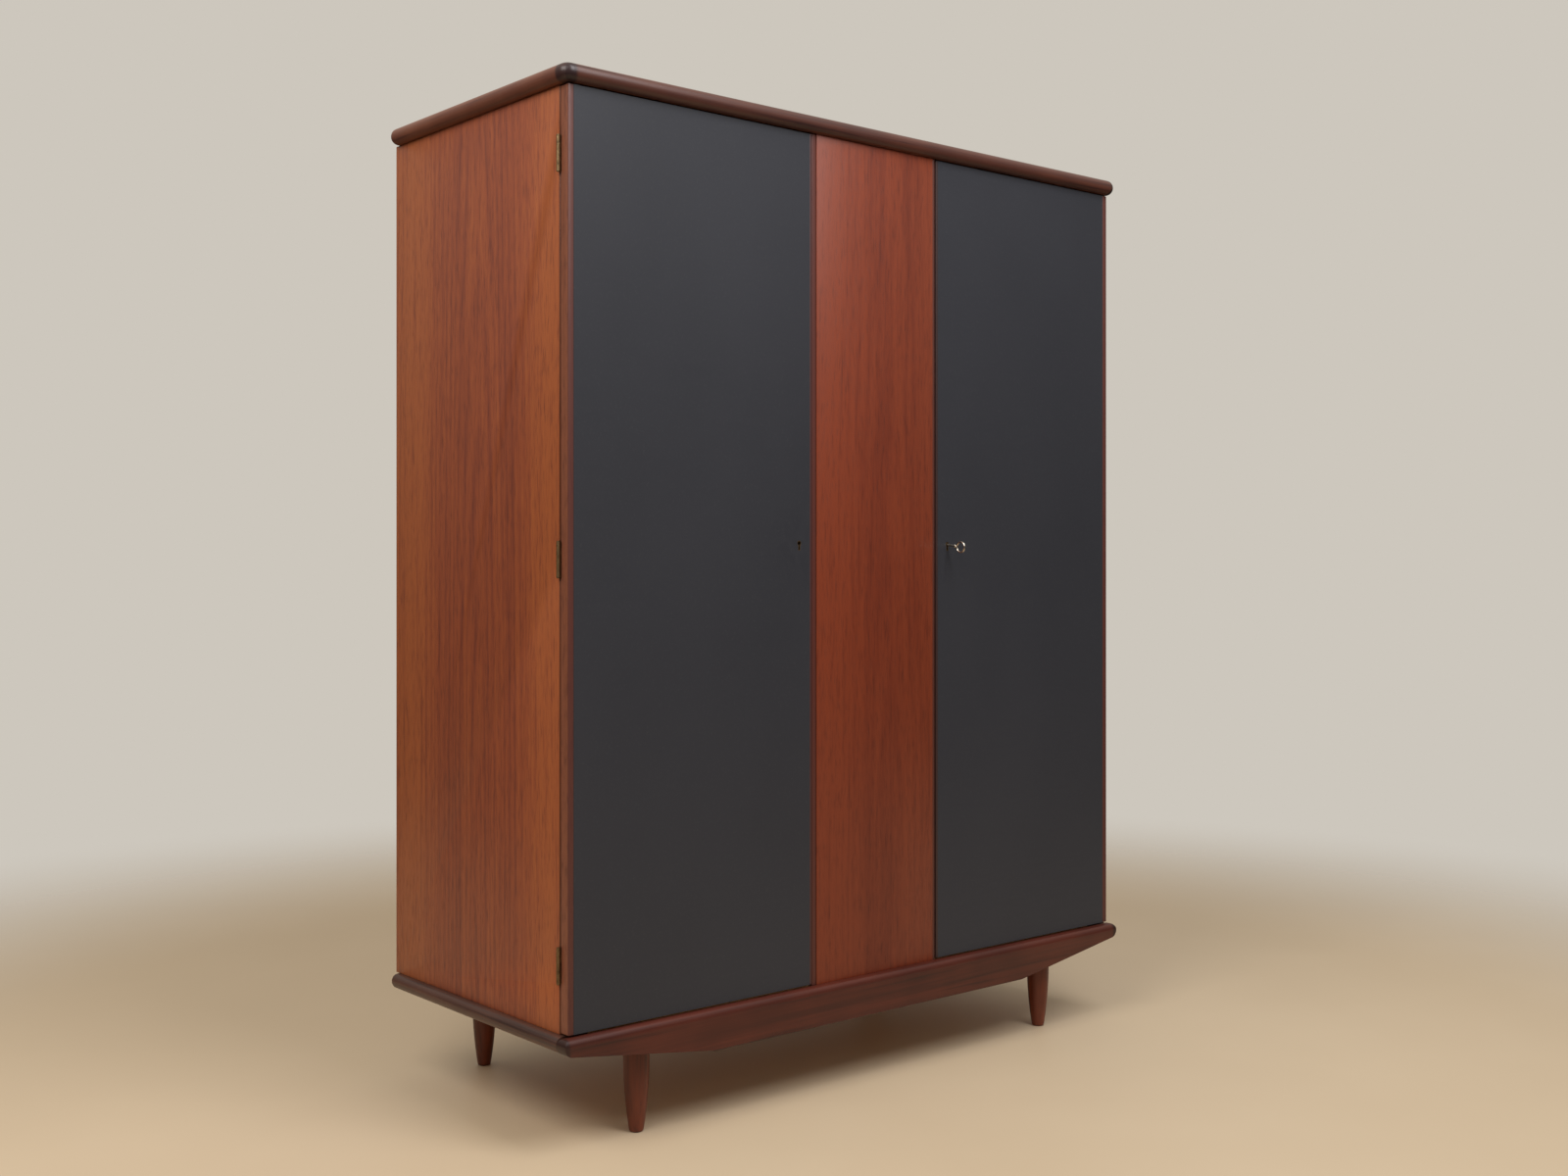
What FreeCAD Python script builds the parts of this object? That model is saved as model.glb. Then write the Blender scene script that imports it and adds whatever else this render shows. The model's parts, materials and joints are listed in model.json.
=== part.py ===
"""A free-standing wardrobe: a teak case on four turned legs, with two grey-faced hinged doors
and a fixed teak panel between them.

Frame: +X to the right of a person who faces the doors, +Y from the doors to the back, +Z up.
The origin is on the floor, below the centre of the whole object's box, the key included.
Every length is in millimetres and is a cell of the sheet Sizes.
"""
import FreeCAD, Part
import math
import os
from types import SimpleNamespace

import Sketcher

SIZES = {
    # The case: overall width of the sides, door face to back edge, and height of the door zone.
    "case_width": 1336.0,
    "case_depth": 576.0,
    "case_height": 1524.0,
    "side_thick": 20.0,
    "partition_thick": 20.0,
    "back_thick": 6.0,
    "back_rebate": 10.0,
    "back_inset": 2.0,
    # The moulded top frame and its panel.
    "top_thick": 30.0,
    "top_side_overhang": 17.0,
    "front_overhang": 14.6,
    "rail_width": 60.0,
    "top_edge_flat": 0.8,
    "front_corner_extra": 5.4,
    "rear_corner_extra": 1.4,
    # The bottom frame, its deep front apron and its panel.
    "base_thick": 27.0,
    "base_side_overhang": 15.0,
    "base_edge_flat": 0.4,
    "apron_thick": 28.0,
    "apron_end_height": 26.0,
    "apron_depth": 72.0,
    "apron_slope_length": 300.0,
    "apron_kink_round": 90.0,
    "apron_edge_round": 6.0,
    # The legs.
    "floor_gap": 167.0,
    "leg_block_thick": 17.0,
    "leg_block_width": 110.0,
    "leg_taper_height": 128.0,
    "leg_top_radius": 22.3,
    "leg_foot_radius": 11.9,
    "leg_foot_round": 4.0,
    "leg_side_inset": 164.0,
    "leg_behind_apron": 31.3,
    "leg_rear_inset": 37.0,
    "leg_bolt_radius": 4.0,
    "leg_bolt_grip": 32.0,
    # The doors, measured from the outer faces of the sides.
    "door_thick": 22.0,
    "door_back_gap": 2.0,
    "door_top_gap": 2.5,
    "door_bottom_gap": 3.2,
    "left_door_width": 515.0,
    "right_door_width": 506.0,
    "left_outer_lipping": 10.0,
    "left_inner_lipping": 4.0,
    "right_outer_lipping": 12.0,
    "right_inner_lipping": 5.0,
    "face_sheet": 1.2,
    # The fixed centre panel.
    "left_meeting_gap": 1.5,
    "right_meeting_gap": 4.0,
    "centre_left_lipping": 10.0,
    "centre_right_lipping": 5.0,
    "strip_recess": 0.8,
    "groove_width": 1.0,
    "groove_depth": 3.0,
    "stile_width": 52.0,
    "stile_thick": 22.0,
    "stile_rebate": 12.0,
    # The butt hinges: three on each door.
    "hinge_length": 58.0,
    "hinge_end_inset": 108.0,
    "hinge_leaf_thick": 2.0,
    "hinge_leaf_width": 16.0,
    "hinge_leaf_gap": 0.4,
    "knuckle_side_gap": 0.6,
    "knuckle_radius": 3.4,
    "knuckle_gap": 0.2,
    "hinge_pin_radius": 1.5,
    "hinge_pin_clearance": 0.05,
    "hinge_pin_head": 2.4,
    "hinge_screw_pitch": 20.0,
    "hinge_screw_inset": 7.0,
    "screw_radius": 1.6,
    "screw_head_radius": 3.0,
    "screw_head_depth": 1.4,
    "screw_length": 14.0,
    "screw_clearance": 0.15,
    # The cut-in locks, their bolts and strike plates.
    "key_height": 985.0,
    "left_backset": 29.0,
    "right_backset": 31.0,
    "lock_width": 42.0,
    "lock_below_key": 22.0,
    "lock_above_key": 36.0,
    "lock_depth": 10.0,
    "lock_wall": 1.4,
    "bolt_above_key": 11.0,
    "bolt_tall": 12.0,
    "bolt_thick": 5.4,
    "bolt_length": 34.0,
    "bolt_setback": 0.3,
    "bolt_slack": 0.3,
    "bolt_throw": 8.0,
    "strike_thick": 1.2,
    "strike_width": 14.0,
    "strike_tall": 40.0,
    # The keyholes and the key.
    "keyhole_radius": 3.7,
    "keyhole_slot_width": 3.2,
    "keyhole_drop": 12.0,
    "bush_wall": 0.7,
    "bush_depth": 8.0,
    "key_reach": 47.0,
    "key_bow_radius": 9.8,
    "key_bow_wire": 1.7,
    "key_shank_radius": 2.3,
    "key_collar_radius": 3.3,
    "key_collar_length": 3.0,
    "key_collar_from_bow": 4.0,
    "key_pivot_depth": 6.0,
    "key_inner_length": 13.0,
    "key_bit_radius": 8.0,
    "key_bit_length": 4.0,
    "key_bit_thick": 2.2,
    "key_droop": 8.0,
    # The fittings inside.
    "shelf_thick": 18.0,
    "shelf_front_inset": 60.0,
    "cleat_size": 20.0,
    "cleat_front_inset": 30.0,
    "hat_shelf_drop": 80.0,
    "right_shelf_pitch": 370.0,
    "rod_radius": 12.5,
    "rod_drop": 60.0,
    "rod_front_inset": 296.0,
    "socket_radius": 18.0,
    "socket_depth": 10.0,
    "socket_base": 2.0,
    "socket_clearance": 0.2,
}

doc = FreeCAD.newDocument("wardrobe")
sheet = doc.addObject("Spreadsheet::Sheet", "Sizes")
for row, (alias, number) in enumerate(SIZES.items(), start=1):
    sheet.set("A%d" % row, alias)
    sheet.set("B%d" % row, repr(number))
    sheet.setAlias("B%d" % row, alias)
doc.recompute()


class Size:
    """A length with its present value and the sheet expression that gives it."""

    def __init__(self, value, text):
        self.value = value
        self.text = text

    def joined(self, other, sign, value, swapped=False):
        first, second = (other, self) if swapped else (self, other)
        return Size(value, "(%s %s %s)" % (first.text, sign, second.text))

    def __add__(self, other):
        other = as_size(other)
        return self.joined(other, "+", self.value + other.value)

    def __radd__(self, other):
        return as_size(other) + self

    def __sub__(self, other):
        other = as_size(other)
        return self.joined(other, "-", self.value - other.value)

    def __rsub__(self, other):
        return as_size(other) - self

    def __mul__(self, other):
        other = as_size(other)
        return self.joined(other, "*", self.value * other.value)

    def __rmul__(self, other):
        return as_size(other) * self

    def __truediv__(self, other):
        other = as_size(other)
        return self.joined(other, "/", self.value / other.value)

    def __neg__(self):
        return as_size(0) - self


def as_size(number):
    """Plain numbers join in with Sizes."""
    return number if isinstance(number, Size) else Size(float(number), repr(float(number)))


def cosine(angle):
    return Size(math.cos(math.radians(angle.value)), "cos(%s * 1 deg)" % angle.text)


s = SimpleNamespace(**{alias: Size(number, "Sizes." + alias) for alias, number in SIZES.items()})


# Tools of the workshop: how a piece is bound to the sheet, and the few ways a piece is made.

PARTS = []


def bind(thing, prop, size):
    thing.setExpression(prop, as_size(size).text)


def put(thing, x, y, z):
    """Bind where a shape or body stands."""
    for axis, size in zip("xyz", (x, y, z)):
        bind(thing, "Placement.Base." + axis, size)


def part(thing, label):
    """Mark an object as a finished sub-part, which is written out under its label."""
    thing.Label = label
    PARTS.append(thing)
    return thing


def box(low, high):
    """A box between two corners."""
    solid = doc.addObject("Part::Box", "Box")
    for prop, start, end in zip(("Length", "Width", "Height"), low, high):
        bind(solid, prop, as_size(end) - start)
    put(solid, *low)
    return solid


AXIS_TURNS = {
    "+Z": FreeCAD.Rotation(),
    "+X": FreeCAD.Rotation(FreeCAD.Vector(0, 1, 0), 90),
    "-X": FreeCAD.Rotation(FreeCAD.Vector(0, 1, 0), -90),
    "+Y": FreeCAD.Rotation(FreeCAD.Vector(1, 0, 0), -90),
    "-Y": FreeCAD.Rotation(FreeCAD.Vector(1, 0, 0), 90),
}


def cylinder(radius, length, foot, along="+Z"):
    """A round bar that starts with its centre at foot and runs along one axis."""
    solid = doc.addObject("Part::Cylinder", "Cylinder")
    bind(solid, "Radius", radius)
    bind(solid, "Height", length)
    solid.Placement = FreeCAD.Placement(FreeCAD.Vector(), AXIS_TURNS[along])
    put(solid, *foot)
    return solid


def cone(foot_radius, end_radius, length, foot, along):
    solid = doc.addObject("Part::Cone", "Cone")
    bind(solid, "Radius1", foot_radius)
    bind(solid, "Radius2", end_radius)
    bind(solid, "Height", length)
    solid.Placement = FreeCAD.Placement(FreeCAD.Vector(), AXIS_TURNS[along])
    put(solid, *foot)
    return solid


def fuse(solids):
    joined = doc.addObject("Part::MultiFuse", "Fuse")
    joined.Shapes = solids
    return joined


def cut(base, tools):
    """The base with the tools taken out of it."""
    result = doc.addObject("Part::Cut", "Cut")
    result.Base = base
    result.Tool = tools[0] if len(tools) == 1 else fuse(tools)
    return result


def group(solids):
    """Separate solids that are one node."""
    together = doc.addObject("Part::Compound", "Group")
    together.Links = solids
    return together


def new_body(name):
    return doc.addObject("PartDesign::Body", name)


def sketch(body, role, corners, arcs=None):
    """A closed outline on one of the body's origin planes, run anticlockwise through its corners.

    Each corner is a pair of Sizes. arcs gives the radius of each side that bulges outwards,
    by the number of the corner where that side starts.
    """
    arcs = arcs or {}
    outline = body.newObject("Sketcher::SketchObject", "Outline")
    plane = next(f for f in body.Origin.OriginFeatures if f.Role == role)
    outline.AttachmentSupport = (plane, [""])
    outline.MapMode = "FlatFace"
    corners = [(as_size(u), as_size(v)) for u, v in corners]
    spots = [FreeCAD.Vector(u.value, v.value, 0) for u, v in corners]
    count = len(corners)
    for number, start in enumerate(spots):
        end = spots[(number + 1) % count]
        if number in arcs:
            radius = arcs[number].value
            chord = end - start
            inward = FreeCAD.Vector(-chord.y, chord.x, 0).normalize()
            depth = (radius ** 2 - (chord.Length / 2) ** 2) ** 0.5
            crown = (start + end) / 2 - inward * (radius - depth)
            outline.addGeometry(Part.Arc(start, crown, end), False)
        else:
            outline.addGeometry(Part.LineSegment(start, end), False)
    for number in range(count):
        outline.addConstraint(Sketcher.Constraint("Coincident", number, 2, (number + 1) % count, 1))
    for number, corner in enumerate(corners):
        for kind, size in zip(("DistanceX", "DistanceY"), corner):
            constraint = Sketcher.Constraint(kind, -1, 1, number, 1, size.value)
            index = outline.addConstraint(constraint)
            outline.setExpression("Constraints[%d]" % index, size.text)
    for number, radius in arcs.items():
        index = outline.addConstraint(Sketcher.Constraint("Radius", number, radius.value))
        outline.setExpression("Constraints[%d]" % index, radius.text)
    return outline


def pad(body, outline, length, backwards=False):
    feature = body.newObject("PartDesign::Pad", "Pad")
    feature.Profile = outline
    feature.Reversed = backwards
    bind(feature, "Length", length)
    doc.recompute()
    return feature


def pocket(body, outline, length, backwards=False):
    """Cut the outline into the body, and make sure that something was cut."""
    before = body.Shape.Volume
    feature = body.newObject("PartDesign::Pocket", "Pocket")
    feature.Profile = outline
    feature.Reversed = backwards
    bind(feature, "Length", length)
    doc.recompute()
    if body.Shape.Volume > before - 1:
        raise RuntimeError("a pocket of %s cuts nothing" % body.Name)
    return feature


def round_edges(body, base, radius, chosen):
    """Round the edges of a feature that the test picks out."""
    names = ["Edge%d" % n for n, edge in enumerate(base.Shape.Edges, start=1) if chosen(edge)]
    feature = body.newObject("PartDesign::Fillet", "Round")
    feature.Base = (base, names)
    bind(feature, "Radius", radius)
    doc.recompute()
    return feature


def rectangle(low, high):
    """The corners of an upright rectangle, anticlockwise."""
    return [low, (high[0], low[1]), high, (low[0], high[1])]


def is_level(edge):
    return edge.BoundBox.ZLength < 0.01


# Levels and lines that several pieces share.

half_width = s.case_width / 2
door_face = (s.key_reach - s.case_depth) / 2
case_back = door_face + s.case_depth
side_front = door_face + s.door_thick + s.door_back_gap
case_floor = s.floor_gap + s.base_thick
case_top = case_floor + s.case_height
top_level = case_top + s.top_thick
frame_front = door_face - s.front_overhang
apron_back = frame_front + s.apron_thick
back_face = case_back - s.back_inset - s.back_thick
inner_side = half_width - s.side_thick

left_door_edge = s.left_door_width - half_width
right_door_edge = half_width - s.right_door_width
centre_left = left_door_edge + s.left_meeting_gap
centre_right = right_door_edge - s.right_meeting_gap
door_low = case_floor + s.door_bottom_gap
door_high = case_top - s.door_top_gap
lining_back = door_face + s.door_thick

hinge_levels = [
    door_low + s.hinge_end_inset,
    (door_low + door_high) / 2,
    door_high - s.hinge_end_inset,
]
pin_line = half_width + s.knuckle_side_gap + s.knuckle_radius
pin_depth = side_front - s.door_back_gap / 2
leaf_front = pin_depth + s.hinge_leaf_gap / 2
leaf_sink = leaf_front + s.hinge_leaf_thick

left_key = left_door_edge - s.left_backset
right_key = right_door_edge + s.right_backset
bolt_low = s.key_height + s.bolt_above_key


# The sides: upright boards with a rebate for the back and a recess for each hinge leaf.

def side_panel(label, side):
    """side is -1 for the left board and 1 for the right one."""
    body = new_body("side_board")
    outer = half_width * side
    inner = inner_side * side
    low_x, high_x = (outer, inner) if side < 0 else (inner, outer)
    board = sketch(body, "XY_Plane", rectangle((low_x, side_front), (high_x, case_back)))
    pad(body, board, s.case_height)
    rebate_edge = (inner_side + s.back_rebate) * side
    low_x, high_x = (rebate_edge, inner) if side < 0 else (inner, rebate_edge)
    rebate = sketch(body, "XY_Plane", rectangle((low_x, back_face), (high_x, case_back)))
    pocket(body, rebate, s.case_height, backwards=True)
    put(body, 0, 0, case_floor)
    recesses = hinge_recesses(side, side_front, leaf_sink)
    return part(cut(body, recesses), label)


def hinge_recesses(side, front, back):
    """One box for each hinge leaf, let into the wood between two depths."""
    outer = half_width * side
    inner = (half_width - s.hinge_leaf_width) * side
    low_x, high_x = (outer, inner) if side < 0 else (inner, outer)
    half = s.hinge_length / 2
    return [box((low_x, front, level - half), (high_x, back, level + half))
            for level in hinge_levels]


side_panel("left_side_panel", -1)
side_panel("right_side_panel", 1)


# The top: a panel framed by four rails, whose outer edges are fully rounded and whose front
# corners are mitred and rounded in plan.

top_outer = half_width + s.top_side_overhang
top_inner = top_outer - s.rail_width
top_field_front = frame_front + s.rail_width
top_field_back = case_back - s.rail_width
top_edge_round = (s.top_thick - s.top_edge_flat) / 2
top_front_round = top_edge_round + s.front_corner_extra
top_rear_round = top_edge_round + s.rear_corner_extra
MITRE_SHARE = 1 - 0.5 ** 0.5


def mirrored(corners, side):
    """Corners of a right-hand outline, or their mirror image in the same turning sense."""
    if side > 0:
        return corners
    return [(-u, v) for u, v in reversed(corners)]


def mitre_point(outer, front, corner_round):
    """Where the mitre leaves the rounded corner: the middle of its quarter circle."""
    inset = corner_round * MITRE_SHARE
    return (outer - inset, front + inset)


def top_side_rail(label, side):
    body = new_body(label)
    corner = top_front_round
    rear = top_rear_round
    corners = [
        (top_inner, top_field_front),
        mitre_point(top_outer, frame_front, corner),
        (top_outer, frame_front + corner),
        (top_outer, case_back - rear),
        (top_outer - rear, case_back),
        (top_inner, case_back),
    ]
    arcs = {1: corner, 3: rear} if side > 0 else {3: corner, 1: rear}
    outline = sketch(body, "XY_Plane", mirrored(corners, side), arcs)
    rail = pad(body, outline, s.top_thick)
    outer = top_outer.value
    round_edges(body, rail, top_edge_round, lambda edge: is_level(edge) and (
        isinstance(edge.Curve, Part.Circle) or abs(abs(edge.CenterOfMass.x) - outer) < 0.01))
    put(body, 0, 0, case_top)
    return part(body, label)


def top_front_rail():
    body = new_body("top_front_rail")
    corner = top_front_round
    right = mitre_point(top_outer, frame_front, corner)
    corners = [
        (-right[0], right[1]),
        (corner - top_outer, frame_front),
        (top_outer - corner, frame_front),
        right,
        (top_inner, top_field_front),
        (-top_inner, top_field_front),
    ]
    outline = sketch(body, "XY_Plane", corners, {0: corner, 2: corner})
    rail = pad(body, outline, s.top_thick)
    front = frame_front.value
    round_edges(body, rail, top_edge_round, lambda edge: is_level(edge) and (
        isinstance(edge.Curve, Part.Circle) or abs(edge.CenterOfMass.y - front) < 0.01))
    put(body, 0, 0, case_top)
    return part(body, "top_front_rail")


top_side_rail("top_left_rail", -1)
top_side_rail("top_right_rail", 1)
top_front_rail()
part(box((-top_inner, top_field_back, case_top), (top_inner, case_back, top_level)),
     "top_rear_rail")
part(box((-top_inner, top_field_front, case_top), (top_inner, top_field_back, top_level)),
     "top_panel")


# The base: a deep shaped apron in front, rounded side rails, a plain rear rail and a panel.

base_outer = half_width + s.base_side_overhang
base_inner = base_outer - s.rail_width
base_field_back = case_back - s.rail_width
base_edge_round = (s.base_thick - s.base_edge_flat) / 2
base_rear_round = base_edge_round + s.rear_corner_extra


def front_apron():
    """A board whose lower edge slopes down from its slim ends to a deep level middle. The ends
    are half round, like the side rails that they meet."""
    body = new_body("front_apron")
    end_low = case_floor - s.apron_end_height
    middle_low = case_floor - s.apron_depth
    kink = base_outer - s.apron_slope_length
    outline = sketch(body, "XZ_Plane", [
        (-base_outer, end_low),
        (-kink, middle_low),
        (kink, middle_low),
        (base_outer, end_low),
        (base_outer, case_floor),
        (-base_outer, case_floor),
    ])
    board = pad(body, outline, s.apron_thick, backwards=True)
    kink_x = kink.value
    board = round_edges(body, board, s.apron_kink_round, lambda edge: (
        edge.BoundBox.XLength < 0.01 and edge.BoundBox.ZLength < 0.01
        and abs(abs(edge.CenterOfMass.x) - kink_x) < 0.01))
    end_x = base_outer.value
    board = round_edges(body, board, s.apron_end_height / 2 * 0.98, lambda edge: (
        is_level(edge) and edge.BoundBox.XLength < 0.01
        and abs(abs(edge.CenterOfMass.x) - end_x) < 0.01))
    round_edges(body, board, s.apron_edge_round, lambda edge: (
        edge.BoundBox.YLength < 0.01 and abs(edge.CenterOfMass.y) < 0.01))
    put(body, 0, frame_front, 0)
    return part(body, "front_apron")


def base_side_rail(label, side):
    body = new_body(label)
    rear = base_rear_round
    corners = [
        (base_inner, apron_back),
        (base_outer, apron_back),
        (base_outer, case_back - rear),
        (base_outer - rear, case_back),
        (base_inner, case_back),
    ]
    arcs = {2: rear} if side > 0 else {1: rear}
    outline = sketch(body, "XY_Plane", mirrored(corners, side), arcs)
    rail = pad(body, outline, s.base_thick)
    outer = base_outer.value
    round_edges(body, rail, base_edge_round, lambda edge: is_level(edge) and (
        isinstance(edge.Curve, Part.Circle) or abs(abs(edge.CenterOfMass.x) - outer) < 0.01))
    put(body, 0, 0, s.floor_gap)
    return part(body, label)


front_apron()
base_side_rail("bottom_left_rail", -1)
base_side_rail("bottom_right_rail", 1)
part(box((-base_inner, base_field_back, s.floor_gap), (base_inner, case_back, case_floor)),
     "bottom_rear_rail")
part(box((-base_inner, apron_back, s.floor_gap), (base_inner, base_field_back, case_floor)),
     "bottom_panel")


# The legs: turned and tapered, each screwed by a steel bolt into a block below the base.

leg_top = s.floor_gap - s.leg_block_thick
leg_side = half_width - s.leg_side_inset
leg_front = apron_back + s.leg_behind_apron
leg_rear = case_back - s.leg_rear_inset
LEG_SPOTS = {
    "front_left_leg": (-leg_side, leg_front),
    "front_right_leg": (leg_side, leg_front),
    "rear_left_leg": (-leg_side, leg_rear),
    "rear_right_leg": (leg_side, leg_rear),
}


def leg(label, x, y):
    """A leg that is straight at its top and swells out of a slim foot on one long arc."""
    body = new_body("turned_leg")
    swell = s.leg_top_radius - s.leg_foot_radius
    arc = (s.leg_taper_height * s.leg_taper_height + swell * swell) / (swell * 2)
    outline = sketch(body, "XZ_Plane", [
        (0, 0),
        (s.leg_foot_radius, 0),
        (s.leg_top_radius, s.leg_taper_height),
        (s.leg_top_radius, leg_top),
        (0, leg_top),
    ], {1: arc})
    turned = body.newObject("PartDesign::Revolution", "Turned")
    turned.Profile = outline
    turned.ReferenceAxis = (outline, ["V_Axis"])
    doc.recompute()
    round_edges(body, turned, s.leg_foot_round, lambda edge: (
        isinstance(edge.Curve, Part.Circle) and abs(edge.CenterOfMass.z) < 0.01))
    put(body, x, y, 0)
    hole = leg_bolt(x, y, leg_top - s.leg_bolt_grip, leg_top)
    return part(cut(body, [hole]), label)


def leg_bolt(x, y, low, high):
    return cylinder(s.leg_bolt_radius, high - low, (x, y, low))


def leg_block(x, y):
    """A block below the base, drilled for the leg's bolt; a front one reaches the apron."""
    half_x = s.leg_block_width / 2
    half_y = s.leg_behind_apron
    block = box((x - half_x, y - half_y, leg_top), (x + half_x, y + half_y, s.floor_gap))
    return cut(block, [leg_bolt(x, y, leg_top, s.floor_gap)])


for name, spot in LEG_SPOTS.items():
    leg(name, *spot)
part(group([leg_block(*spot) for spot in LEG_SPOTS.values()]), "leg_blocks")
part(group([leg_bolt(x, y, leg_top - s.leg_bolt_grip, s.floor_gap)
            for x, y in LEG_SPOTS.values()]), "leg_bolts")


# The inside: a partition, the back, and two stop stiles behind the edges of the centre panel.

half_partition = s.partition_thick / 2
part(box((-half_partition, side_front, case_floor), (half_partition, back_face, case_top)),
     "centre_partition")

back_edge = inner_side + s.back_rebate
part(box((-back_edge, back_face, case_floor), (0, back_face + s.back_thick, case_top)),
     "left_back_panel")
part(box((0, back_face, case_floor), (back_edge, back_face + s.back_thick, case_top)),
     "right_back_panel")

stile_back = side_front + s.stile_thick
for label, low_x in (
    ("left_stop_stile", centre_left - s.stile_rebate),
    ("right_stop_stile", centre_right + s.stile_rebate - s.stile_width),
):
    part(box((low_x, side_front, case_floor), (low_x + s.stile_width, stile_back, case_top)),
         label)


# The centre panel: fixed, level with the doors, with a lipping and a strike plate at each edge.

bolt_depth = lining_back - s.lock_depth / 2
strike_level = bolt_low + s.bolt_tall / 2
strike_reach = s.bolt_throw + s.strike_thick


def between(first, second):
    """Two places along X in rising order."""
    return (first, second) if first.value < second.value else (second, first)


def bolt_space(start, end, slack):
    """The room of a bolt between two places along X, with slack all round its section."""
    low_x, high_x = between(start, end)
    half = s.bolt_thick / 2 + slack
    return box((low_x, bolt_depth - half, bolt_low - slack),
               (high_x, bolt_depth + half, bolt_low + s.bolt_tall + slack))


def strike_plate(edge, inward):
    """A brass plate let into an edge of the centre panel; inward is the way into the panel."""
    low_x, high_x = between(edge, edge + s.strike_thick * inward)
    half_y = s.strike_width / 2
    half_z = s.strike_tall / 2
    return box((low_x, bolt_depth - half_y, strike_level - half_z),
               (high_x, bolt_depth + half_y, strike_level + half_z))


def strike_cuts(edge, inward):
    """What a strike plate and its bolt take out of the wood behind them."""
    return [strike_plate(edge, inward),
            bolt_space(edge, edge + strike_reach * inward, s.bolt_slack)]


core_left = centre_left + s.centre_left_lipping
core_right = centre_right - s.centre_right_lipping
strip_groove = box((core_left, door_face, case_floor),
                   (core_left + s.groove_width, door_face + s.groove_depth, case_top))
part(cut(box((core_left, door_face, case_floor), (core_right, side_front, case_top)),
         [strip_groove, bolt_space(centre_right, centre_right - strike_reach, s.bolt_slack)]),
     "centre_panel")
part(cut(box((centre_left, door_face + s.strip_recess, case_floor),
             (core_left, side_front, case_top)),
         strike_cuts(centre_left, 1)),
     "centre_left_lipping")
part(cut(box((core_right, door_face, case_floor), (centre_right, side_front, case_top)),
         strike_cuts(centre_right, -1)),
     "centre_right_lipping")
for label, edge, inward in (("left_strike_plate", centre_left, 1),
                            ("right_strike_plate", centre_right, -1)):
    part(cut(strike_plate(edge, inward),
             [bolt_space(edge, edge + strike_reach * inward, s.bolt_slack)]),
         label)


# The shelves and the hanging rod. A shelf lies on two cleats, which are screwed to the boards.

shelf_front = door_face + s.shelf_front_inset


def shelf(low_x, high_x, underside):
    return box((low_x, shelf_front, underside), (high_x, back_face, underside + s.shelf_thick))


def shelf_cleats(low_x, high_x, underside):
    front = shelf_front + s.cleat_front_inset
    low_z = underside - s.cleat_size
    return [box((start, front, low_z), (start + s.cleat_size, back_face, underside))
            for start in (low_x, high_x - s.cleat_size)]


hat_shelf_level = case_top - s.hat_shelf_drop
part(shelf(-inner_side, -half_partition, hat_shelf_level), "left_hat_shelf")
part(group(shelf_cleats(-inner_side, -half_partition, hat_shelf_level)), "left_shelf_cleats")

right_cleats = []
for number, name in enumerate(("lower", "middle", "upper"), start=1):
    level = case_floor + s.right_shelf_pitch * number
    part(shelf(half_partition, inner_side, level), "right_%s_shelf" % name)
    right_cleats += shelf_cleats(half_partition, inner_side, level)
part(group(right_cleats), "right_shelf_cleats")

rod_y = door_face + s.rod_front_inset
rod_z = hat_shelf_level - s.rod_drop
rod_start = s.socket_base - inner_side
rod_end = -half_partition - s.socket_base
part(cylinder(s.rod_radius, rod_end - rod_start, (rod_start, rod_y, rod_z), "+X"), "hanging_rod")


def rod_socket(face, along):
    """A turned cup, screwed to a board at face, that opens along +X or -X."""
    way = 1 if along == "+X" else -1
    cup = cylinder(s.socket_radius, s.socket_depth, (face, rod_y, rod_z), along)
    bore = cylinder(s.rod_radius + s.socket_clearance, s.socket_depth,
                    (face + s.socket_base * way, rod_y, rod_z), along)
    return cut(cup, [bore])


part(group([rod_socket(-inner_side, "+X"), rod_socket(-half_partition, "-X")]), "rod_sockets")


# The hinges: brass butts with five knuckles. The frame leaf carries the first, third and fifth.

KNUCKLES = {"frame": (0, 2, 4), "door": (1, 3)}
KNUCKLE_COUNT = 5
knuckle_length = (s.hinge_length - s.knuckle_gap * (KNUCKLE_COUNT - 1)) / KNUCKLE_COUNT
LEAF_FACES = {
    "frame": (leaf_front, leaf_sink),
    "door": (pin_depth - s.hinge_leaf_gap / 2 - s.hinge_leaf_thick,
             pin_depth - s.hinge_leaf_gap / 2),
}
SCREW_WAYS = {"frame": "+Y", "door": "-Y"}


def screw_shape(side, owner, level, grow):
    """A countersunk screw whose head is level with the open face of its leaf."""
    way = SCREW_WAYS[owner]
    face = LEAF_FACES[owner][0] if owner == "frame" else LEAF_FACES[owner][1]
    foot = ((half_width - s.hinge_screw_inset) * side, face, level)
    head = cone(s.screw_head_radius + grow, s.screw_radius + grow, s.screw_head_depth, foot, way)
    return fuse([head, cylinder(s.screw_radius + grow, s.screw_length, foot, way)])


def screw_levels(level):
    return [level - s.hinge_screw_pitch, level, level + s.hinge_screw_pitch]


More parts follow.
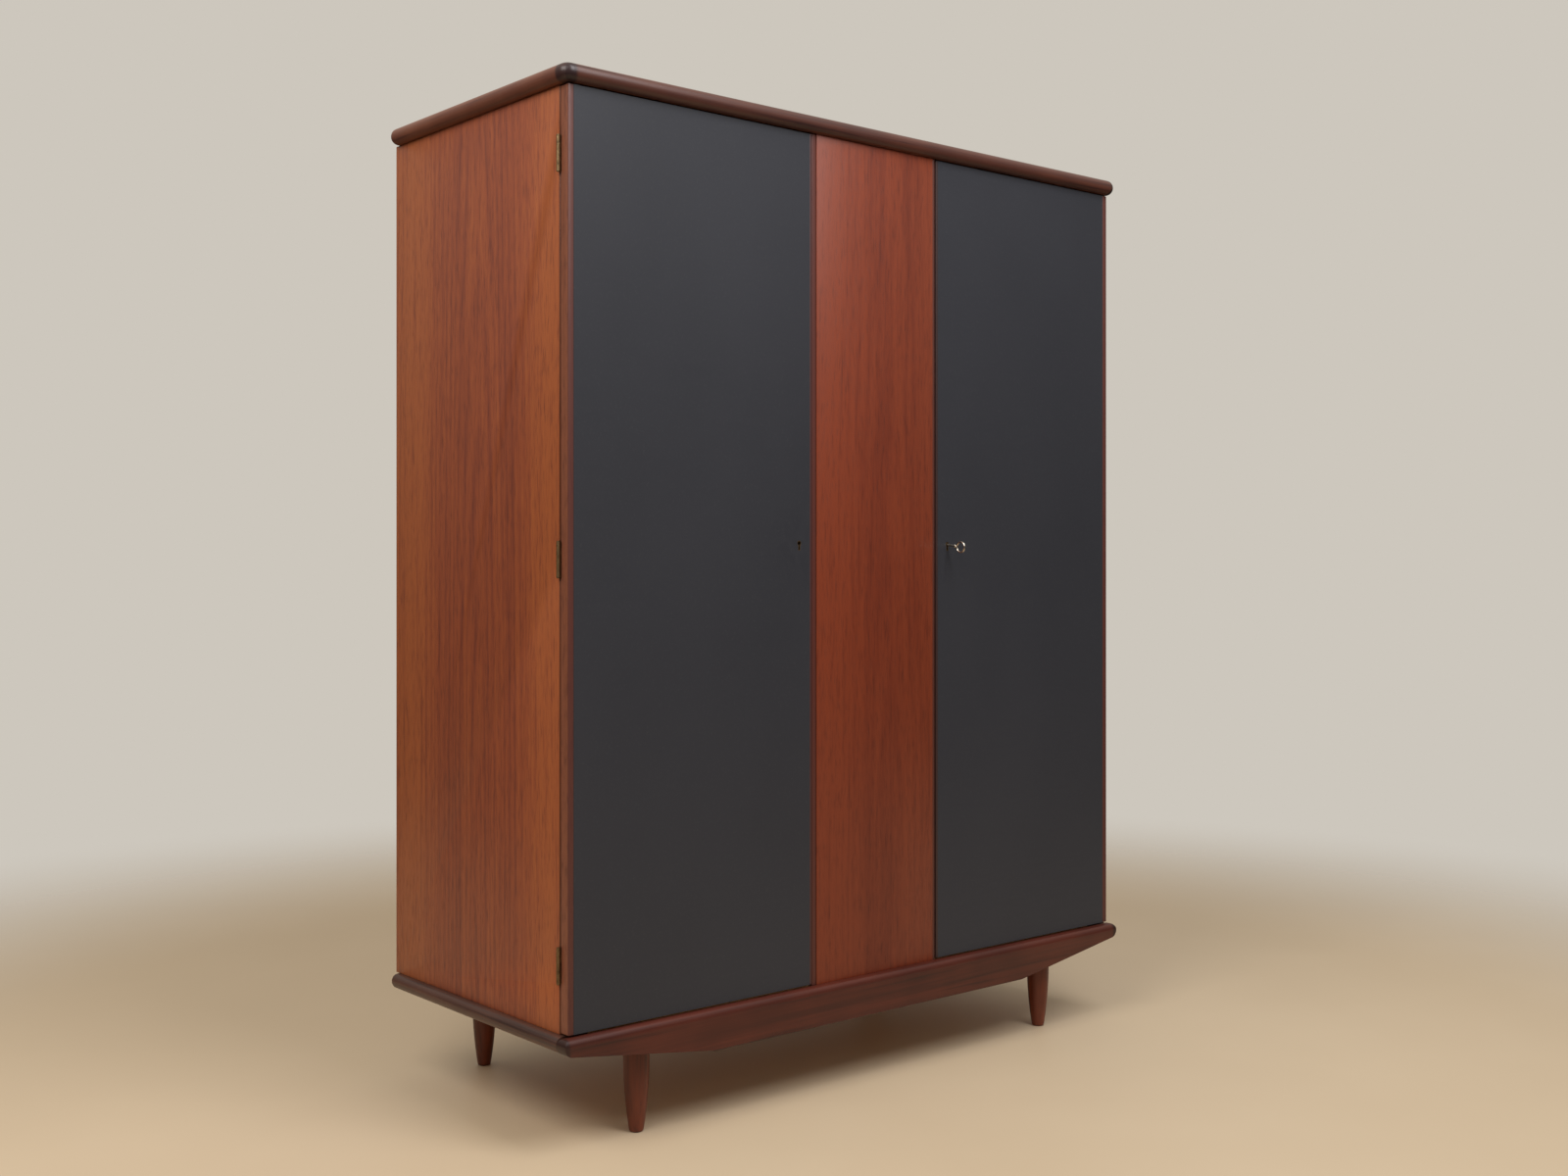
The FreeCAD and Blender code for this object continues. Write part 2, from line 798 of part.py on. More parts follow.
def hinge_leaf(side, owner, level):
    front, back = LEAF_FACES[owner]
    half = s.hinge_length / 2
    low_x, high_x = between((half_width - s.hinge_leaf_width) * side, half_width * side)
    pieces = [box((low_x, front, level - half), (high_x, back, level + half))]
    neck_low, neck_high = between(half_width * side, pin_line * side)
    for number in KNUCKLES[owner]:
        low_z = level - half + (knuckle_length + s.knuckle_gap) * number
        pieces.append(box((neck_low, front, low_z), (neck_high, back, low_z + knuckle_length)))
        pieces.append(cylinder(s.knuckle_radius, knuckle_length,
                               (pin_line * side, pin_depth, low_z)))
    bore = cylinder(s.hinge_pin_radius + s.hinge_pin_clearance, s.hinge_length,
                    (pin_line * side, pin_depth, level - half))
    holes = [screw_shape(side, owner, z, s.screw_clearance) for z in screw_levels(level)]
    return cut(fuse(pieces), [bore] + holes)


def hinge_pin(side, level):
    """A pin with a small button at each end, which keeps it in the knuckles."""
    half = s.hinge_length / 2
    x = pin_line * side
    button = s.hinge_pin_head / 2
    return fuse([
        cylinder(s.hinge_pin_radius, s.hinge_length, (x, pin_depth, level - half)),
        cylinder(s.hinge_pin_head, button, (x, pin_depth, level - half - button)),
        cylinder(s.hinge_pin_head, button, (x, pin_depth, level + half)),
    ])


def hinge_screws(side, owner):
    return [screw_shape(side, owner, z, 0) for level in hinge_levels for z in screw_levels(level)]


for name, side in (("left", -1), ("right", 1)):
    for owner in KNUCKLES:
        part(group([hinge_leaf(side, owner, level) for level in hinge_levels]),
             "%s_hinge_%s_leaves" % (name, owner))
    part(group(hinge_screws(side, "door")), name + "_door_hinge_screws")
part(group(hinge_screws(-1, "frame") + hinge_screws(1, "frame")), "frame_hinge_screws")
part(group([hinge_pin(side, level) for side in (-1, 1) for level in hinge_levels]),
     "hinge_pins")


# The doors: a veneered core with a grey sheet glued to its face and a solid lipping at each
# upright edge. A lock is let into the back of the core, beside the lipping of the meeting edge.

lock_front = lining_back - s.lock_depth
lock_low = s.key_height - s.lock_below_key
lock_high = s.key_height + s.lock_above_key


def keyhole(x, grow, front, back):
    """A round hole with a slot below it, between two depths."""
    radius = s.keyhole_radius + grow
    half = s.keyhole_slot_width / 2 + grow
    return fuse([
        cylinder(radius, back - front, (x, front, s.key_height), "+Y"),
        box((x - half, front, s.key_height - s.keyhole_drop - grow), (x + half, back, s.key_height)),
    ])


def lock_case(lock_edge, away, key_x):
    """A shallow brass box; away is the way from the meeting edge into the door."""
    low_x, high_x = between(lock_edge, lock_edge + s.lock_width * away)
    wall = s.lock_wall
    outside = box((low_x, lock_front, lock_low), (high_x, lining_back, lock_high))
    inside = box((low_x + wall, lock_front + wall, lock_low + wall),
                 (high_x - wall, lining_back - wall, lock_high - wall))
    bolt_slot = bolt_space(lock_edge, lock_edge + wall * 2 * away, s.bolt_slack)
    front_hole = keyhole(key_x, 0, lock_front, lock_front + wall * 2)
    return cut(outside, [inside, bolt_slot, front_hole])


def door(name, side, edge, key_x, outer_lipping, inner_lipping):
    """edge is the meeting edge, beside the centre panel, and side is -1 for the left door."""
    outer = half_width * side
    core_outer = outer - outer_lipping * side
    core_inner = edge + inner_lipping * side
    sheet_back = door_face + s.face_sheet
    bush_back = door_face + s.bush_depth
    low_x, high_x = between(core_outer, core_inner)
    core = box((low_x, sheet_back, door_low), (high_x, lining_back, door_high))
    lock_space_low, lock_space_high = between(core_inner, core_inner + s.lock_width * side)
    lock_space = box((lock_space_low, lock_front, lock_low),
                     (lock_space_high, lining_back, lock_high))
    leaf_spaces = hinge_recesses(side, LEAF_FACES["door"][0], lining_back)
    part(cut(core, leaf_spaces + [lock_space, keyhole(key_x, s.bush_wall, sheet_back, bush_back),
                                  keyhole(key_x, 0, bush_back, lock_front)]),
         name + "_door_core")
    part(cut(box((low_x, door_face, door_low), (high_x, sheet_back, door_high)),
             [keyhole(key_x, s.bush_wall, door_face, sheet_back)]),
         name + "_door_face_sheet")
    low_x, high_x = between(outer, core_outer)
    part(cut(box((low_x, door_face, door_low), (high_x, lining_back, door_high)),
             hinge_recesses(side, LEAF_FACES["door"][0], lining_back)),
         name + "_door_outer_lipping")
    low_x, high_x = between(edge, core_inner)
    part(cut(box((low_x, door_face, door_low), (high_x, lining_back, door_high)),
             [bolt_space(edge, core_inner, s.bolt_slack)]),
         name + "_door_inner_lipping")
    part(cut(keyhole(key_x, s.bush_wall, door_face, bush_back),
             [keyhole(key_x, 0, door_face, bush_back)]),
         name + "_keyhole_bush")
    part(lock_case(core_inner, side, key_x), name + "_lock_case")
    tip = edge + s.bolt_setback * side
    part(bolt_space(tip, tip + s.bolt_length * side, 0), name + "_lock_bolt")


door("left", -1, left_door_edge, left_key, s.left_outer_lipping, s.left_inner_lipping)
door("right", 1, right_door_edge, right_key, s.right_outer_lipping, s.right_inner_lipping)


# The key stands in the right-hand lock: a ring bow, a collar, a shank and a bit. It is drawn
# along Y about the middle of the keyhole, and then droops as a loose key does.

def key():
    bow_outer = s.key_bow_radius + s.key_bow_wire
    bow_y = (bow_outer - s.key_reach - s.key_pivot_depth) / cosine(s.key_droop)
    bow = doc.addObject("Part::Torus", "Bow")
    bind(bow, "Radius1", s.key_bow_radius)
    bind(bow, "Radius2", s.key_bow_wire)
    bow.Placement = FreeCAD.Placement(FreeCAD.Vector(), AXIS_TURNS["+X"])
    put(bow, 0, bow_y, 0)
    shank_start = bow_y + s.key_bow_radius
    shank = cylinder(s.key_shank_radius, s.key_inner_length - shank_start, (0, shank_start, 0),
                     "+Y")
    collar = cylinder(s.key_collar_radius, s.key_collar_length,
                      (0, shank_start + s.key_collar_from_bow, 0), "+Y")
    half = s.key_bit_thick / 2
    bit = box((-half, s.key_inner_length - s.key_bit_length, -s.key_bit_radius),
              (half, s.key_inner_length, 0))
    whole = part(fuse([bow, shank, collar, bit]), "key")
    droop = FreeCAD.Rotation(FreeCAD.Vector(1, 0, 0), s.key_droop.value)
    whole.Placement = FreeCAD.Placement(FreeCAD.Vector(), droop)
    bind(whole, "Placement.Rotation.Angle", s.key_droop)
    put(whole, right_key, door_face + s.key_pivot_depth, s.key_height)


key()

doc.recompute()
for thing in doc.Objects:
    if "Invalid" in thing.State or "Error" in thing.State:
        raise RuntimeError("%s (%s) failed: %s" % (thing.Name, thing.Label, thing.State))
for thing in PARTS:
    if thing.Shape.isNull() or not thing.Shape.isValid():
        raise RuntimeError("%s has no valid shape" % thing.Label)

os.makedirs("parts", exist_ok=True)
for thing in PARTS:
    thing.Shape.exportStep("parts/%s.step" % thing.Label)
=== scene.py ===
import json
import math

import bmesh
import bpy
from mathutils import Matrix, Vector

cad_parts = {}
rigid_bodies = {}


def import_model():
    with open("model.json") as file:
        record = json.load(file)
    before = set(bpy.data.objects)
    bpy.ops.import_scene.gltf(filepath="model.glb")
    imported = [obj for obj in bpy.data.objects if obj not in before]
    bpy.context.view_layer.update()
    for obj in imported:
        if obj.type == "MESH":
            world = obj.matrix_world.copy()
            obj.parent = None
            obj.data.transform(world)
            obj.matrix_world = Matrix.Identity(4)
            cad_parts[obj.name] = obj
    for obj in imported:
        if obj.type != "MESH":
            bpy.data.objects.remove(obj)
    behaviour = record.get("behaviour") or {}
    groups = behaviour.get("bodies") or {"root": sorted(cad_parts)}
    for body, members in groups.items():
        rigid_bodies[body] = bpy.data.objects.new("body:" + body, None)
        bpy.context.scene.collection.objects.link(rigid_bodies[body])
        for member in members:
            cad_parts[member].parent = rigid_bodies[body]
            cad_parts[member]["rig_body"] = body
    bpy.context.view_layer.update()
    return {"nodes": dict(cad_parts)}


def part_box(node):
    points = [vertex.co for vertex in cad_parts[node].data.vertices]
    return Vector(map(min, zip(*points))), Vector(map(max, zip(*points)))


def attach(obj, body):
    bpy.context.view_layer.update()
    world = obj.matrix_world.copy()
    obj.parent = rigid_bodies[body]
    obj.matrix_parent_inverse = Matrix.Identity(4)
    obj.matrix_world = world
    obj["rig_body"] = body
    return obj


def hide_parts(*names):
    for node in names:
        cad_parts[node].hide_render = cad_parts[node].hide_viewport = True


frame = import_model()
nodes = frame["nodes"]


# Side panels: boards faced with crown-cut teak veneer, whose grain runs upright. The veneer is
# oiled to a satin shine, orange at the edges of the leaf and browner in its crown.

class Socket:
    """A node's output that takes part in sums, so a material's maths reads as arithmetic."""

    def __init__(self, finish, output):
        self.finish = finish
        self.output = output

    def sum(self, operation, *inputs):
        return self.finish.node("ShaderNodeMath", {"operation": operation},
                                dict(enumerate(inputs)))

    def __add__(self, other):
        return self.sum("ADD", self, other)

    def __radd__(self, other):
        return self.sum("ADD", other, self)

    def __sub__(self, other):
        return self.sum("SUBTRACT", self, other)

    def __rsub__(self, other):
        return self.sum("SUBTRACT", other, self)

    def __mul__(self, other):
        return self.sum("MULTIPLY", self, other)

    def __rmul__(self, other):
        return self.sum("MULTIPLY", other, self)

    def __pow__(self, other):
        return self.sum("POWER", self, other)

    def root(self):
        return self.sum("SQRT", self)

    def wave(self):
        """A smooth swing from 0 to 1 and back for each whole step."""
        return self.sum("SINE", self * (2 * math.pi)) * 0.5 + 0.5

    def size(self):
        return self.sum("ABSOLUTE", self)

    def span(self, low, high, start=0.0, end=1.0):
        """The share of the way from low to high, smoothed and clamped, from start to end."""
        return self.finish.node(
            "ShaderNodeMapRange", {"interpolation_type": "SMOOTHSTEP"},
            {"Value": self, "From Min": low, "From Max": high, "To Min": start, "To Max": end})


class Finish:
    """A material in the making: one Principled shader and the nodes that feed it."""

    def __init__(self, name, **constants):
        self.material = bpy.data.materials.new(name)
        self.material.use_nodes = True
        self.tree = self.material.node_tree
        self.shader = self.tree.nodes["Principled BSDF"]
        for socket, value in constants.items():
            self.shader.inputs[socket.replace("_", " ")].default_value = value

    def node(self, kind, settings=None, sockets=None, output=0):
        """Add a node: first its settings, then the values or links of its sockets."""
        new = self.tree.nodes.new(kind)
        for name, value in (settings or {}).items():
            if name == "stops":
                self.set_stops(new.color_ramp, value)
            else:
                setattr(new, name, value)
        for name, value in (sockets or {}).items():
            if isinstance(value, Socket):
                self.tree.links.new(value.output, new.inputs[name])
            else:
                new.inputs[name].default_value = value
        return Socket(self, new.outputs[output])

    def set_stops(self, ramp, stops):
        while len(ramp.elements) < len(stops):
            ramp.elements.new(0.5)
        for element, (place, colour) in zip(ramp.elements, stops):
            element.position = place
            element.color = colour

    def place(self):
        """Where a point lies on the piece, in metres: x, y and z."""
        spot = self.node("ShaderNodeTexCoord", output="Object")
        return [self.node("ShaderNodeSeparateXYZ", {}, {0: spot}, output=axis) for axis in "XYZ"]

    def noise(self, x, y, z, detail=2.0, roughness=0.55, distortion=0.0):
        """Noise from 0 to 1 with features about one unit long on each given axis."""
        spot = self.node("ShaderNodeCombineXYZ", {}, {"X": x, "Y": y, "Z": z})
        return self.node("ShaderNodeTexNoise", {"noise_dimensions": "3D"},
                         {"Vector": spot, "Scale": 1.0, "Detail": detail,
                          "Roughness": roughness, "Distortion": distortion})

    def blend(self, share, first, second):
        """A colour between two, which are colours of this material or plain ones."""
        return self.node("ShaderNodeMix", {"data_type": "RGBA"},
                         {0: share, 6: first, 7: second}, output=2)

    def feed(self, **links):
        for socket, value in links.items():
            self.tree.links.new(value.output, self.shader.inputs[socket.replace("_", " ")])
        return self.material

    def bump(self, height, strength, distance):
        return self.node("ShaderNodeBump", {},
                         {"Height": height, "Strength": strength, "Distance": distance})


def colour(red, green, blue):
    """A linear colour from the 0 to 255 numbers of a paint chart."""
    return [((c / 255 + 0.055) / 1.055) ** 2.4 if c > 10 else c / 255 / 12.92
            for c in (red, green, blue)] + [1.0]


def teak(name, across, along, depth, chart, crown=(0.0, 0.9), leaf=0.25, gloss=0.42,
         seed=0.0, figure=1.0, fine=1.0, painted_edge_shade=None):
    """Oiled teak. across, along and depth number the axes of the board; crown is where the
    crown of the leaf lies, across and along; leaf is the half width of its darker heart;
    painted_edge_shade is painted shade along a front edge, for the shadowed gap beside it: how far
    back it reaches, its place in y, and its colour."""
    light, middle, dark, vein = [colour(*c) for c in chart]
    finish = Finish(name, Specular_IOR_Level=0.34)
    axes = finish.place()
    w = axes[across] - crown[0]
    h = axes[along] - crown[1]
    d = axes[depth] + seed
    drift = finish.noise(w * 4 + seed, h * 0.9, d * 3, detail=1.5) - 0.5
    w = w + drift * 0.018
    ring = (w * w + (h * 0.055 + 0.02) ** 2.0).root() + drift * 0.012
    rings = (ring * 62 + finish.noise(w * 24, h * 0.7, d * 9) * 1.6).wave() ** 1.7
    fibre = finish.noise(w * 620, h * 9, d * 300 + seed, detail=2.5, roughness=0.6)
    streak = finish.noise(w * 110, h * 2.6, d * 60 + seed, detail=3.0, roughness=0.62)
    dash = finish.noise(w * 230, h * 24, d * 90 + seed, detail=2.0, roughness=0.6)
    cloud = finish.noise(w * 24, h * 0.9, d * 5 + seed * 3, detail=2.0)
    pores = finish.noise(w * 900, h * 40, d * 500 + seed, detail=1.0).span(0.56, 0.70)
    heart = (w.size() + (cloud - 0.5) * 0.14).span(leaf * 1.05, leaf * 0.45)
    shade = (heart * 0.50 * figure + rings * 0.20 * figure * (0.35 + heart)
             + (streak - 0.5) * 0.80 * fine + (cloud - 0.5) * 1.00 + (dash - 0.5) * 0.75 * fine
             + (fibre - 0.5) * 0.35 * fine)
    tone = finish.blend(shade.span(-0.1, 0.55), light, middle)
    tone = finish.blend(shade.span(0.42, 1.05), tone, dark)
    veins = (streak * (0.45 + rings * 0.55)).span(0.50, 0.72) * 0.30 * fine
    tone = finish.blend(veins, tone, vein)
    tone = finish.blend(dash.span(0.54, 0.72) * 0.30 * fine, tone, vein)
    tone = finish.blend(pores * 0.35 * fine, tone, vein)
    # Painted shade: the front edge and the first millimetres behind it are darkened, for the shadow
    # in the gap beside the piece.
    if painted_edge_shade:
        reach, front, edge_shade_colour = painted_edge_shade
        tone = finish.blend(axes[1].span(front + reach, front + reach * 0.5) * 0.75, tone,
                            colour(*edge_shade_colour))
    rough = gloss + (fibre - 0.5) * 0.14 + pores * 0.12 + (cloud - 0.5) * 0.08
    dents = finish.noise(axes[0] * 30, axes[1] * 30, axes[2] * 30, detail=1.0)
    relief = fibre * 0.5 + streak * 0.3 - pores * 0.6 + dents * 0.5
    return finish.feed(Base_Color=tone, Roughness=rough,
                       Normal=finish.bump(relief, 0.16, 0.0006))


def workpiece(name):
    """An empty mesh object at the origin, to be filled from a bmesh."""
    piece = bpy.data.objects.new(name, bpy.data.meshes.new(name))
    bpy.context.scene.collection.objects.link(piece)
    return piece


SHARP_ANGLE = math.radians(35)


def settle(piece, form, finish, stands_for):
    """Put a bmesh into its piece, give it its finish, and let it stand for a CAD node."""
    bmesh.ops.recalc_face_normals(form, faces=form.faces)
    form.to_mesh(piece.data)
    form.free()
    piece.data.shade_smooth()
    piece.data.set_sharp_from_angle(angle=SHARP_ANGLE)
    piece.data.materials.append(finish)
    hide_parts(stands_for)
    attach(piece, nodes[stands_for]["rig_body"])
    return piece


def merged(node):
    """The shape of a CAD node as one joined bmesh with its flat faces whole."""
    form = bmesh.new()
    form.from_mesh(nodes[node].data)
    bmesh.ops.remove_doubles(form, verts=form.verts, dist=1e-6)
    bmesh.ops.dissolve_limit(form, angle_limit=math.radians(0.5), verts=form.verts,
                             edges=form.edges)
    return form


def ease(form, edges, radius, segments):
    """Round the given edges off to a radius."""
    bmesh.ops.bevel(form, geom=edges, offset=radius, offset_type="OFFSET", segments=segments,
                    profile=0.5, affect="EDGES", clamp_overlap=True, material=-1)


def eased_copy(node, finish, radius=0.0007, segments=2):
    """A planed piece: the CAD node with the knife edges taken off its sharp corners."""
    form = merged(node)
    sharp = [e for e in form.edges if e.is_manifold and e.calc_face_angle(0) > math.radians(40)]
    if radius > 0:
        ease(form, sharp, radius, segments)
    return settle(workpiece(node + ".shaped"), form, finish, node)


SIDE_CHART = [(155, 86, 49), (137, 71, 45), (115, 58, 42), (82, 43, 34)]
for side in ("left", "right"):
    low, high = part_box(side + "_side_panel")
    # The side panel's front edge gets painted shade, for the dark gap between it and the door.
    finish = teak(side + "_side_veneer", across=1, along=2, depth=0, chart=SIDE_CHART,
                  crown=((low.y + high.y) / 2 - 0.02, 0.75), leaf=0.22, seed=1.7,
                  painted_edge_shade=(0.0034, low.y, (70, 36, 26)))
    eased_copy(side + "_side_panel", finish, radius=0.0006)


# Centre panel: one upright leaf of redder teak with an even, quiet stripe. The solid strips at
# its edges are a shade darker, and their front edges carry painted shade for the gaps beside them.

CENTRE_CHART = [(124, 55, 32), (108, 45, 27), (86, 35, 24), (60, 26, 19)]
LIPPING_CHART = [(124, 74, 53), (109, 62, 47), (87, 49, 40), (62, 35, 30)]
low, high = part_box("centre_panel")
centre_veneer = teak("centre_veneer", across=0, along=2, depth=1, chart=CENTRE_CHART,
                     crown=((low.x + high.x) / 2 + 0.03, 0.3), leaf=0.13, seed=4.1, figure=0.45,
                     fine=0.8, gloss=0.40)
eased_copy("centre_panel", centre_veneer, radius=0.0005)
# Each lipping's front edge carries painted shade, for the shadowed gap between door, panel and
# frame.
for lipping in ("left_door_outer_lipping", "right_door_outer_lipping"):
    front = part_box(lipping)[0].y
    lipping_teak = teak(lipping + "_teak", across=0, along=2, depth=1, chart=LIPPING_CHART,
                        seed=2.2, leaf=0.5, figure=0.2, gloss=0.45,
                        painted_edge_shade=(0.0024, front, (74, 38, 38)))
    eased_copy(lipping, lipping_teak, radius=0.0009, segments=3)
INNER_LIPPING_CHART = [(88, 48, 38), (76, 40, 34), (60, 32, 28), (42, 24, 23)]
# The second colour of each pair is the painted shade of the gap beside that lipping.
for lipping, edge_shade_colour in (("centre_left_lipping", (84, 42, 36)), ("centre_right_lipping", (80, 42, 34)),
                       ("left_door_inner_lipping", (70, 44, 46)),
                       ("right_door_inner_lipping", (42, 34, 34))):
    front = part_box(lipping)[0].y
    lipping_teak = teak(lipping + "_teak", across=0, along=2, depth=1,
                        chart=INNER_LIPPING_CHART, seed=2.9, leaf=0.5, figure=0.2, gloss=0.45,
                        painted_edge_shade=(0.0024, front, edge_shade_colour))
    eased_copy(lipping, lipping_teak, radius=0.0009, segments=3)


# Doors: a teak-veneered board with a matt grey sheet on its face. The sheet is a hard smooth
# lacquered board, very slightly uneven, with faint rubbed marks around the keyholes.

def grey_sheet(name, key_spot):
    """The matt face sheet of a door; hands have polished it a little round the keyhole."""
    finish = Finish(name, Specular_IOR_Level=0.35)
    x, y, z = finish.place()
    cloud = finish.noise(x * 2.2, y * 2.2, z * 1.3, detail=3.0)
    speck = finish.noise(x * 260, y * 260, z * 260, detail=2.0)
    brushed = finish.noise(x * 14, y * 14, z * 110, detail=2.0)
    from_key = ((x - key_spot[0]) ** 2.0 + (z - key_spot[1]) ** 2.0).root()
    rubbed = from_key.span(0.09, 0.012) * finish.noise(x * 60, y * 9, z * 60).span(0.35, 0.75)
    tone = finish.blend(cloud, colour(42, 43, 49), colour(51, 52, 58))
    tone = finish.blend(speck.span(0.55, 0.75) * 0.25, tone, colour(66, 67, 70))
    rough = 0.52 + (brushed - 0.5) * 0.10 + (cloud - 0.5) * 0.10 - rubbed * 0.12
    relief = speck * 0.4 + brushed * 0.25
    return finish.feed(Base_Color=tone, Roughness=rough,
                       Normal=finish.bump(relief, 0.10, 0.0004))


DOOR_CHART = [(184, 116, 66), (160, 94, 54), (124, 70, 44), (92, 50, 34)]
for side in ("left", "right"):
    low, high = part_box(side + "_keyhole_bush")
    middle = (low + high) / 2
    sheet = grey_sheet(side + "_door_grey", (middle.x, middle.z))
    eased_copy(side + "_door_face_sheet", sheet, radius=0.0)
    low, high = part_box(side + "_door_core")
    inner_veneer = teak(side + "_door_back_veneer", across=0, along=2, depth=1, chart=DOOR_CHART,
                        crown=((low.x + high.x) / 2, 0.9), leaf=0.2, seed=7.3, figure=0.8)
    eased_copy(side + "_door_core", inner_veneer, radius=0.0)


# Top frame: solid teak rails with a full round edge, mitred and rounded at the front corners.
# Handling and oil have darkened them, and end grain shows almost black at each corner.

def solid_teak(name, along, chart, corners=(), ends=None, seed=0.0, gloss=0.36):
    """Solid teak with its grain along one axis. End grain shows dark: corners are the places,
    in plan, where a joint bares it, each with its reach, and ends says how far out in x the
    board's own ends are and how far the dark reaches in from them."""
    light, middle, dark, vein = [colour(*c) for c in chart]
    finish = Finish(name, Specular_IOR_Level=0.36)
    axes = finish.place()
    stretch = [150.0, 150.0, 150.0]
    stretch[along] = 3.0
    long_x, long_y, long_z = [axis * s for axis, s in zip(axes, stretch)]
    fibre = finish.noise(long_x * 4 + seed, long_y * 4, long_z * 4, detail=2.0)
    streak = finish.noise(long_x + seed, long_y, long_z, detail=3.0, roughness=0.6)
    band = finish.noise(long_x * 0.25, long_y * 0.25 + seed, long_z * 0.25, detail=2.0)
    cloud = finish.noise(axes[0] * 7 + seed, axes[1] * 7, axes[2] * 7, detail=2.0)
    shade = (band - 0.5) * 0.9 + (streak - 0.5) * 0.9 + (cloud - 0.5) * 0.8 + 0.45
    tone = finish.blend(shade.span(0.1, 0.6), light, middle)
    tone = finish.blend(shade.span(0.45, 1.0), tone, dark)
    tone = finish.blend(streak.span(0.56, 0.74) * 0.6, tone, vein)
    mottle = finish.noise(axes[0] * 420, axes[1] * 420, axes[2] * 420, detail=1.0) * 0.2 + 0.76
    for spot_x, spot_y, reach in corners:
        away = ((axes[0] - spot_x) ** 2.0 + (axes[1] - spot_y) ** 2.0).root()
        ragged = away + (cloud - 0.5) * reach * 0.35
        tone = finish.blend(ragged.span(reach, reach * 0.72) * mottle, tone, vein)
    if ends:
        end_x, reach = ends
        inwards = end_x - axes[0].size() + (cloud - 0.5) * reach * 0.5
        tone = finish.blend(inwards.span(reach, reach * 0.55) * mottle, tone, vein)
    rough = gloss + (fibre - 0.5) * 0.16 + (cloud - 0.5) * 0.10
    relief = fibre * 0.6 + streak * 0.4 + cloud * 0.4
    return finish.feed(Base_Color=tone, Roughness=rough,
                       Normal=finish.bump(relief, 0.15, 0.0007))


RAIL_CHART = [(116, 72, 54), (98, 59, 46), (76, 45, 37), (44, 31, 32)]
FRONT_RAIL_CHART = [(92, 54, 42), (78, 46, 38), (61, 37, 33), (38, 27, 29)]
ROUND_STEPS = 10


def slab(low, high, front_round, rear_round, edge_round):
    """A board with its corners rounded in plan and a round moulding along three edges."""
    form = bmesh.new()
    bmesh.ops.create_cube(form, size=1)
    span = high - low
    bmesh.ops.scale(form, vec=span, verts=form.verts)
    bmesh.ops.translate(form, vec=(low + high) / 2, verts=form.verts)

    def uprights(y):
        return [e for e in form.edges
                if all(abs(v.co.y - y) < 1e-6 for v in e.verts)
                and abs(e.verts[0].co.z - e.verts[1].co.z) > span.z / 2]

    if front_round > 0:
        ease(form, uprights(low.y), front_round, ROUND_STEPS)
    ease(form, uprights(high.y), rear_round, ROUND_STEPS)
    form.normal_update()
    rims = [e for e in form.edges
            if abs(e.verts[0].co.z - e.verts[1].co.z) < 1e-6
            and any(abs(abs(f.normal.z) - 1) < 1e-3 for f in e.link_faces)
            and not all(abs(v.co.y - high.y) < 1e-6 for v in e.verts)]
    ease(form, rims, edge_round, ROUND_STEPS)
    return form


def sawn(form, point, normal):
    """Saw the form along a plane and keep the side that the normal points away from."""
    cut = bmesh.ops.bisect_plane(form, geom=form.verts[:] + form.edges[:] + form.faces[:],
                                 dist=1e-7, plane_co=point, plane_no=normal, clear_outer=True)
    rim = [e for e in cut["geom_cut"] if isinstance(e, bmesh.types.BMEdge)]
    bmesh.ops.holes_fill(form, edges=rim, sides=0)
    return form


frame_low = Vector((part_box("top_left_rail")[0].x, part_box("top_front_rail")[0].y,
                    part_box("top_left_rail")[0].z))
frame_high = Vector((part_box("top_right_rail")[1].x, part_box("top_left_rail")[1].y,
                     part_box("top_left_rail")[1].z))
inner_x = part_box("top_panel")[1].x
inner_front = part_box("top_panel")[0].y
TOP_CORNER_ROUND = 0.020
TOP_REAR_ROUND = 0.016
TOP_EDGE_ROUND = 0.0146
corner_patches = [(frame_low.x + 0.008, frame_low.y + 0.010, 0.022),
                  (frame_high.x - 0.010, frame_low.y + 0.010, 0.012)]
for side, way in (("left", -1), ("right", 1)):
    form = slab(frame_low, frame_high, TOP_CORNER_ROUND, TOP_REAR_ROUND, TOP_EDGE_ROUND)
    inner_corner = Vector((inner_x * way, inner_front, 0))
    sawn(form, inner_corner, (-way, 0, 0))
    sawn(form, inner_corner, (-way, -1, 0))
    rail_teak = solid_teak("top_%s_rail_teak" % side, 1, RAIL_CHART, corner_patches, seed=way)
    settle(workpiece("top_%s_rail.shaped" % side), form, rail_teak, "top_%s_rail" % side)
form = slab(frame_low, frame_high, TOP_CORNER_ROUND, TOP_REAR_ROUND, TOP_EDGE_ROUND)
sawn(form, Vector((0, inner_front, 0)), (0, 1, 0))
for way in (-1, 1):
    sawn(form, Vector((inner_x * way, inner_front, 0)), (way, 1, 0))
front_teak = solid_teak("top_front_rail_teak", 0, FRONT_RAIL_CHART, corner_patches, seed=3.0)
settle(workpiece("top_front_rail.shaped"), form, front_teak, "top_front_rail")
top_veneer = teak("top_veneer", across=1, along=0, depth=2, chart=SIDE_CHART, crown=(0.0, 0.2),
                  leaf=0.16, seed=9.0, figure=0.8)
eased_copy("top_panel", top_veneer, radius=0.0)
rear_teak = solid_teak("top_rear_rail_teak", 0, RAIL_CHART, seed=5.0)
eased_copy("top_rear_rail", rear_teak, radius=0.0015, segments=3)


# Base frame: the same moulding at the sides, and in front a deep board sawn to a shallow boat
# shape. Its half-round ends butt against the side rails, and their end grain is nearly black.

